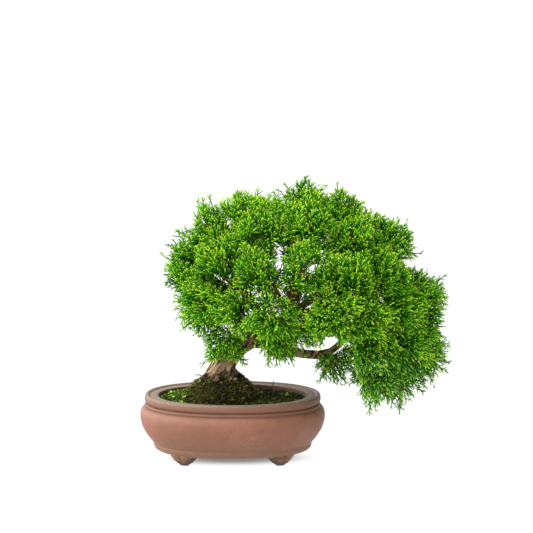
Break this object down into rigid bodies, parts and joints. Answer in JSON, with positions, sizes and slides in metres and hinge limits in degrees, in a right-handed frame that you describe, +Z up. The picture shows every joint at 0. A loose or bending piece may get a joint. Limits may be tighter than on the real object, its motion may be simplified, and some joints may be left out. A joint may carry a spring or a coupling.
{
  "type": "chinese juniper bonsai",
  "caption": "Small trained juniper tree with a leaning trunk and a rounded crown of scale-leaved sprays, standing in soil in an oval clay pot on four feet.",
  "frame": {"origin": "middle of the base of the bounding box, on the surface that the four feet stand on", "axes": "+Z up, +X along the pot's length towards the side that the crown leans to, -Y towards the viewer"},
  "size_m": [0.3358, 0.2634, 0.3121],
  "materials": {
    "unglazed_clay": "matte",
    "soil": "matte",
    "bark": "matte",
    "foliage": "satin",
    "plastic_mesh": "matte"
  },
  "bodies": {
    "root": {"pot": "unglazed_clay", "drain_mesh_left": "plastic_mesh", "drain_mesh_right": "plastic_mesh", "soil": "soil", "trunk_and_branches": "bark", "leaf_spray_00": "foliage", "leaf_spray_01": "foliage", "leaf_spray_02": "foliage", "leaf_spray_03": "foliage", "leaf_spray_04": "foliage", "leaf_spray_05": "foliage", "leaf_spray_06": "foliage", "leaf_spray_07": "foliage", "leaf_spray_08": "foliage", "leaf_spray_09": "foliage", "leaf_spray_10": "foliage", "leaf_spray_11": "foliage", "leaf_spray_12": "foliage", "leaf_spray_13": "foliage", "leaf_spray_14": "foliage", "leaf_spray_15": "foliage", "leaf_spray_16": "foliage", "leaf_spray_17": "foliage", "leaf_spray_18": "foliage", "leaf_spray_19": "foliage", "leaf_spray_20": "foliage", "leaf_spray_21": "foliage", "leaf_spray_22": "foliage", "leaf_spray_23": "foliage", "leaf_spray_24": "foliage", "leaf_spray_25": "foliage", "leaf_spray_26": "foliage", "leaf_spray_27": "foliage", "leaf_spray_28": "foliage", "leaf_spray_29": "foliage", "leaf_spray_30": "foliage", "leaf_spray_31": "foliage", "leaf_spray_32": "foliage", "leaf_spray_33": "foliage", "leaf_spray_34": "foliage", "leaf_spray_35": "foliage", "leaf_spray_36": "foliage", "leaf_spray_37": "foliage", "leaf_spray_38": "foliage", "leaf_spray_39": "foliage", "leaf_spray_40": "foliage", "leaf_spray_41": "foliage", "leaf_spray_42": "foliage", "leaf_spray_43": "foliage", "leaf_spray_44": "foliage", "leaf_spray_45": "foliage", "leaf_spray_46": "foliage", "leaf_spray_47": "foliage", "leaf_spray_48": "foliage"}
  },
  "joints": []
}
